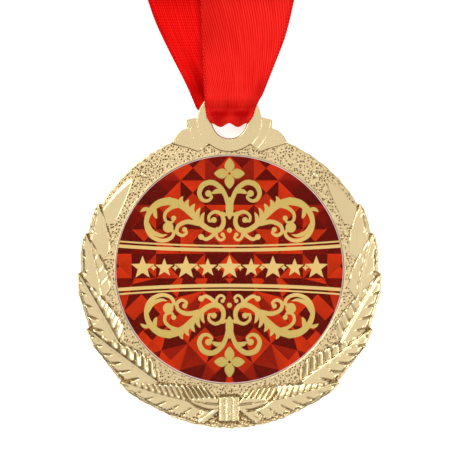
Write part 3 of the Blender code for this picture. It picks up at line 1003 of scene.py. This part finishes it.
def hankPath(first, upper):
    # One ply's way to and fro: straight passes joined by half circles, as length, x and z
    look = ribbonLook
    heights = [look["firstLayers"][1 if upper else 0]]
    for layer in range(1, 6):
        middle = 3.05 + look["layer"] * (layer - 1)
        above = upper if layer % 2 == 0 else not upper
        heights.append(middle + (0.27 if above else -0.27))
    rng = np.random.default_rng(7 if upper else 11)
    points = [(first, heights[0])]
    for layer in range(5):
        side = 1 if layer % 2 == 0 else -1
        rise = (heights[layer + 1] - heights[layer]) / 2
        turnX = look["turnX"] - 0.35 * rng.random() * layer / 2
        angle = np.linspace(-math.pi / 2, math.pi / 2, 13)
        for a in angle:
            points.append((side * (turnX + rise * math.cos(a)), heights[layer] + rise + rise * math.sin(a)))
    points.append((look["endX"], heights[5]))
    return lengthAlong(points), np.array(points)


def plySurface(line, upper):
    # Points (stations, columns, 3) of one half, from the bottom of the turn to the sewn end
    look = ribbonLook
    across = np.linspace(-0.5, 0.5, look["columns"])
    length, dense = lineAlong(line)
    foldX = line[-1][2]
    foldAt = np.interp(hankY, dense[:, 0], length)
    shift = math.pi * look["foldRadius"] / math.sqrt(2)
    hankLength, hankPoints = hankPath(foldX + shift, upper)
    end = foldAt + hankLength[-1]
    inBand, atFold = np.arange(0, foldAt - 12, look["bandStep"]), np.arange(foldAt - 12, foldAt + 13, 0.5)
    inHank = hankLength[(hankLength > 13) & (hankLength < hankLength[-1])] + foldAt
    fill = np.arange(foldAt + 13, end, look["hankStep"])
    stations = np.unique(np.round(np.concatenate([inBand, atFold, inHank, fill, [end]]), 3))
    y, z, x, width = (np.interp(stations, length, dense[:, n]) for n in range(4))
    slopeY = np.gradient(y, stations)
    slopeZ = np.gradient(z, stations)
    slopeY = np.where(stations > foldAt + 15, 1, slopeY)
    norm = np.hypot(slopeY, slopeZ)
    # Gathers: h = depth(width) x (cos of a few pleats across), deepest where the strip is narrowest
    narrow = np.clip((16.5 - width) / 9.6, 0, 1)
    depth = (0.62 if upper else 0.2) * narrow**1.3
    w, s = np.meshgrid(across, stations)
    fan = 1 + 0.25 * np.sin(s * 0.21)
    finer = 0.2 * np.cos(2 * math.pi * (w * 5.2 + 0.13) + 0.08 * s) + 0.08 * np.sin(2 * math.pi * w * 9 * fan)
    lift = -depth[:, None] * (0.75 * np.cos(2 * math.pi * (w * 2 + 0.02)) + finer * smooth((s - 1) / 5))
    # Away from the hole only a slow ripple is left
    lift += 0.10 * np.sin(2 * math.pi * w * 1.3 + s * 0.11) * smooth((s - 6) / 10) * (1 if upper else 0.3)
    # Just above the hole the front band's right edge curls back, and the back band's left edge rises
    if upper:
        lift -= 0.6 * smooth((w - 0.2) / 0.3) * hump(s - 11, 5)
    else:
        lift += 0.5 * smooth((-w - 0.22) / 0.15) * hump(s - 12, 6)
    px = x[:, None] + w * width[:, None]
    # Woven edges stand out a little at every second row
    px += look["picot"] * np.sign(w) * (np.abs(w) > 0.499) * (np.arange(len(stations)) % 2)[:, None]
    py = y[:, None] - lift * (slopeZ / norm)[:, None]
    pz = z[:, None] + lift * (slopeY / norm)[:, None]
    # Corner fold: the strip turns over a line at 45 degrees, on a small cylinder
    toFold = (foldX - px + py - hankY) / math.sqrt(2)
    toFold = np.where(s > foldAt - 13, toFold, -1)
    r = look["foldRadius"]
    angle = np.clip(toFold / r, 0, math.pi)
    past = np.maximum(toFold - math.pi * r, 0)
    bent = np.where(toFold > 0, r * np.sin(angle) - past - toFold, 0) / math.sqrt(2)
    px, py = px - bent, py + bent
    pz = np.where(toFold > 0, pz + r * (1 - np.cos(angle)), pz)
    # The hank: past the corner fold the strip follows its folded path
    along = s - foldAt
    hx = np.interp(along, hankLength, hankPoints[:, 0])
    hz = np.interp(along, hankLength, hankPoints[:, 1])
    tilt = np.interp(along, hankLength, 0.5 * np.sin(hankLength * 0.031 + (0.4 if upper else 1.7)))
    hy = hankY + w * look["width"] + shift + (tilt - shift) * smooth((along - 20) / 30)
    wrap = smooth((along - 11.3) / 0.6)
    px = px * (1 - wrap) + hx * wrap
    py = py * (1 - wrap) + hy * wrap
    pz = pz * (1 - wrap) + hz * wrap
    # Painted shade of the cloth in its folds, darkening its red: the gather above the hole, the curled edge and
    # the overlap
    up = y[:, None]
    if upper:
        arch = 36.1 + 0.5 * w + 0.5 * np.cos(12 * w)
        gatherShade = hump(up - arch, 1.5) * (0.95 - 0.2 * np.cos(12 * w)) * (s > 2)
        foldShade = gatherShade * (1 - 0.7 * smooth((np.abs(w) - 0.36) / 0.12))
        foldShade += 0.6 * smooth((w - 0.28) / 0.15) * hump(up - 41.5, 2.8)
        foldShade += 0.35 * smooth((-w - 0.25) / 0.22) * smooth((up - 46) / 8)
        foldShade += 0.28 * hump(w + 0.26, 0.16) * hump(up - 55, 6)
    else:
        foldShade = 0.5 * hump(up - 41.5, 2.2) + 0.45 * smooth((52 - up) / 8) * hump(w + 0.3, 0.06)
    return np.dstack([px, py, pz]), stations, np.clip(foldShade, 0, 1) * (s < foldAt - 13)


def buildRibbon():
    look = ribbonLook
    front, frontAt, frontFoldShade = plySurface(frontLine, True)
    back, backAt, backFoldShade = plySurface(backLine, False)
    points = np.concatenate([back[::-1], front[1:]])
    foldShade = np.concatenate([backFoldShade[::-1], frontFoldShade[1:]])
    stations = np.concatenate([-backAt[::-1], frontAt[1:]])
    rows, columns = points.shape[:2]
    across = np.linspace(-0.5, 0.5, columns) * look["width"]
    u, v = np.meshgrid(across, stations)
    uv = np.column_stack([u.ravel(), v.ravel()])
    made = meshFrom("ribbon", points.reshape(-1, 3), [gridFaces(rows, columns)], uv=uv)
    storeShare(made, "foldShade", foldShade)
    thick = thicken(made, look["thickness"])
    thick.material_offset = 1
    thick.material_offset_rim = 1
    made.data.materials.append(satinMaterial("satinFace", True))
    made.data.materials.append(satinMaterial("satinBack", False))
    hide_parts("ribbon_bight", "ribbon_front_band", "ribbon_back_band", "ribbon_hank")
    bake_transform(made)


def weaveGroup():
    # Cloth grain from the strip's own millimetres: warp lines along it, finer weft lines across,
    # warp = wave of (u + lean x v), weft = wave of v, and streaks of stretched noise
    inputs = {"Place": None, "Pitch": 0.4, "Lean": 0.1}
    tree, given, result = newGroup("weave", inputs, ("Warp", "Weft", "Streaks"))
    u, v = split(given["Place"])[:2]
    leaning = u + v * given["Lean"]
    plug(result, {
        "Warp": wave(leaning * (2 * math.pi) / given["Pitch"]),
        "Weft": wave(v * (2 * math.pi / 0.34)),
        "Streaks": noiseAt(vectorOf(leaning * 2.2, v * 0.12), 1.0, 4),
    })
    return tree


weave = weaveGroup()


def satinMaterial(name, face):
    look = ribbonLook
    made, tree, shader = newMaterial(name)
    place = clothPlace(tree)
    cloth = useGroup(weave, place, Pitch=0.62 if face else 0.5, Lean=0.32 if face else 0.0)
    warp, weft, streaks = cloth["Warp"], cloth["Weft"], cloth["Streaks"]
    if face:
        light = warp * 0.4 + (streaks * 0.6 + 0.15)
        stops = [(0.35, look["shadeRed"]), (0.62, look["red"]), (0.9, look["shineRed"])]
    else:
        light = warp * weft + (streaks * 1.2 - 0.55)
        stops = [(0.0, look["shadeRed"]), (0.45, look["backRed"]), (1.0, look["shineRed"])]
    # The woven edge is a row of dark and light knots
    u, v = split(place)[:2]
    knots = calc("GREATER_THAN", abs(u), look["selvedge"]) * (calc("SINE", v * 8.4) * 0.3 + 0.3)
    # Painted shade: the red darkens in the cloth's folds, while the woven edge's knots are its own dark and
    # light marks
    knotsAndFoldShade = calc("MAXIMUM", knots, storedShare(tree, "foldShade") * 0.92)
    plug(shader, {
        "Base Color": mix(tree, knotsAndFoldShade, ramp(light, stops), (*look["foldShadeRed"], 1)),
        "Normal": bumpFrom(warp + weft * (0.35 if face else 1.0), 0.00003, 0.6),
        "Roughness": look["roughness"] if face else 0.8,
        "Specular IOR Level": 0.04 if face else 0.02,
    })
    return made


buildRibbon()


# The paper band round the hank and the two rows of stitches across its top

bandLook = {
    "width": 10.0,
    "round": 1.2,
    "overlap": 9.0,
    "thickness": 0.2,
    "columns": 14,
    "step": 0.5,
    "paper": (0.83, 0.80, 0.72),
}
stitchLook = {"pitch": 2.45, "gap": 0.42, "radius": 0.2, "sides": 12, "step": 0.07, "red": (0.55, 0.004, 0.004)}


def paperMaterial():
    # Kraft paper: long fibres from stretched noise
    made, tree, shader = newMaterial("paperBand")
    stretched = numbered("ShaderNodeVectorMath", (clothPlace(tree), (2.6, 0.7, 1)), operation="MULTIPLY")
    fibres = noiseAt(stretched, 1.6, 6)
    paper = np.array(bandLook["paper"])
    shades = ((0.36, (0.84, 0.81, 0.74)), (0.52, (1, 1, 1)), (0.72, (1.05, 1.05, 1.04)))
    tone = ramp(fibres, [(at, paper * shade) for at, shade in shades])
    plug(shader, {"Base Color": tone, "Normal": bumpFrom(fibres, 0.00003), "Roughness": 0.85})
    return made


def buildPaperBand():
    # One strip wound round the hank: a rounded rectangle in y and z, whose end laps under its start
    look = bandLook
    low, high = (np.array(v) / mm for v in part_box("paper_band"))
    half = look["thickness"] / 2
    y0, y1, z0, z1 = low[1] + half, high[1] - half, low[2] + half, high[2] - half
    r = look["round"]
    lap, inside = look["overlap"] / 2, z0 + look["thickness"] + 0.02
    path = [(hankY - lap, z0)]
    corners = ((y1 - r, z0 + r), (y1 - r, z1 - r), (y0 + r, z1 - r), (y0 + r, z0 + r))
    for (cy, cz), start in zip(corners, (-90, 0, 90, 180)):
        for a in np.radians(np.linspace(start, start + 90, 9)):
            path.append((cy + r * math.cos(a), cz + r * math.sin(a)))
    path += [(hankY - lap - 1.5, z0), (hankY - lap + 0.5, inside), (hankY + lap, inside)]
    path = np.array(path)
    length = lengthAlong(path)
    stations = np.unique(np.concatenate([np.arange(0, length[-1], look["step"]), length]))
    y, z = np.interp(stations, length, path[:, 0]), np.interp(stations, length, path[:, 1])
    across = (low[0] + high[0]) / 2 + np.linspace(-0.5, 0.5, look["columns"]) * look["width"]
    x, s = np.meshgrid(across, stations)
    # The paper's sides spring in by a hair between the corners
    middle = (z1 + z0) / 2
    pull = 0.12 * np.sin(x * 0.9 + s * 0.21) * smooth((z - middle) / 2)[:, None]
    points = np.dstack([x, y[:, None] + 0 * x, z[:, None] - np.abs(pull)])
    uv = np.column_stack([x.ravel(), s.ravel()])
    made = meshFrom("paperBand", points.reshape(-1, 3), [gridFaces(len(stations), look["columns"])], uv=uv)
    thicken(made, look["thickness"])
    made.data.materials.append(paperMaterial())
    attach(made, "ribbon")
    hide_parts("paper_band")
    print("paper band built, length", round(length[-1], 2))


def threadMaterial():
    # Twisted sewing thread: plies from a wave of (turn + twist x length)
    made, tree, shader = newMaterial("sewingThread")
    u, v = split(clothPlace(tree))[:2]
    red = np.array(stitchLook["red"])
    tone = ramp(wave(u * 3 + v * 9), [(0.1, red * 0.5), (0.6, red)])
    plug(shader, {"Base Color": tone, "Roughness": 0.7, "Specular IOR Level": 0.1})
    return made


def buildStitches():
    # Each row is one thread: it lies on the cloth for a stitch, then dives through it between two stitches
    look = stitchLook
    made = threadMaterial()
    for node, name in (("seam_thread_outer", "seamOuter"), ("seam_thread_inner", "seamInner")):
        low, high = (np.array(v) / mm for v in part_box(node))
        s = np.arange(low[1], high[1], look["step"])
        inStitch = (s - low[1]) / look["pitch"] % 1
        share = look["gap"] / look["pitch"]
        down = 1 - smooth(np.minimum(inStitch, 1 - inStitch) / share)
        z = ribbonTop + look["radius"] * 0.7 + 0.1 * np.sin(math.pi * inStitch) - 0.75 * down
        x = (low[0] + high[0]) / 2 + 0.05 * np.sin(s * 2.1)
        slope = np.gradient(z, s)
        norm = np.hypot(1, slope)
        turn = np.linspace(0, 2 * math.pi, look["sides"] + 1)
        a, along = np.meshgrid(turn, s)
        r = look["radius"] * (1 + 0.09 * np.cos(3 * a + 9 * along))
        px = x[:, None] + r * np.cos(a)
        py = s[:, None] - r * np.sin(a) * (slope / norm)[:, None]
        pz = z[:, None] + r * np.sin(a) / norm[:, None]
        ends = [[x[0], s[0], z[0]], [x[-1], s[-1], z[-1]]]
        points = np.vstack([np.dstack([px, py, pz])[:, :-1].reshape(-1, 3), ends])
        uv = np.vstack([np.dstack([a, along])[:, :-1].reshape(-1, 2), [[0, s[0]], [0, s[-1]]]])
        faces = cappedFaces(len(s), look["sides"])
        row = meshFrom(name, points, facingOut(points, faces), uv=uv)
        row.data.materials.append(made)
        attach(row, "ribbon")
        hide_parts(node)
    print("stitches built")


buildPaperBand()
buildStitches()


# Floor, lights and camera

stageLook = {
    "floor": 0.9,
    "glow": 0.5,
    "sky": (0.1, 0.16, 0.55, 1.0),
    "lights": {"keyLight": ((-0.55, 0.45, 0.7), 4.2), "fillLight": ((0.65, -0.25, 0.7), 2.4)},
}


def buildStage():
    bpy.ops.mesh.primitive_plane_add(size=4, location=(0, 0, 0))
    floor = bpy.context.object
    floor.name = "floor"
    paper, _, shader = newMaterial("whiteTable")
    plug(shader, {
        "Base Color": (stageLook["floor"],) * 3 + (1,),
        "Roughness": 0.8,
        "Emission Color": (1, 1, 1, 1),
        "Emission Strength": stageLook["glow"],
    })
    floor.data.materials.append(paper)
    world = bpy.data.worlds.new("tent")
    bpy.context.scene.world = world
    world.use_nodes = True
    sky = world.node_tree.nodes["Background"]
    up = split(wire(world.node_tree, "ShaderNodeTexCoord", output="Generated"))[2]
    greys = zip((0.0, 0.35, 0.6, 0.8), stageLook["sky"])
    plug(sky, {"Color": ramp(up, [(at, (grey, grey, grey)) for at, grey in greys])})
    for name, (place, power) in stageLook["lights"].items():
        data = bpy.data.lights.new(name, "AREA")
        data.size = 0.5
        data.energy = power
        lamp = bpy.data.objects.new(name, data)
        lamp.location = place
        lamp.rotation_euler = (-Vector(place)).to_track_quat("-Z", "Y").to_euler()
        bpy.context.collection.objects.link(lamp)
    data = bpy.data.cameras.new("camera")
    data.lens = 100
    data.sensor_width = 36
    data.clip_start = 0.01
    camera = bpy.data.objects.new("camera", data)
    camera.location = (-0.98 * mm, 11.9 * mm, 0.2755)
    bpy.context.collection.objects.link(camera)
    scene = bpy.context.scene
    scene.camera = camera
    scene.view_settings.view_transform = "Standard"
    print("stage set")


buildStage()
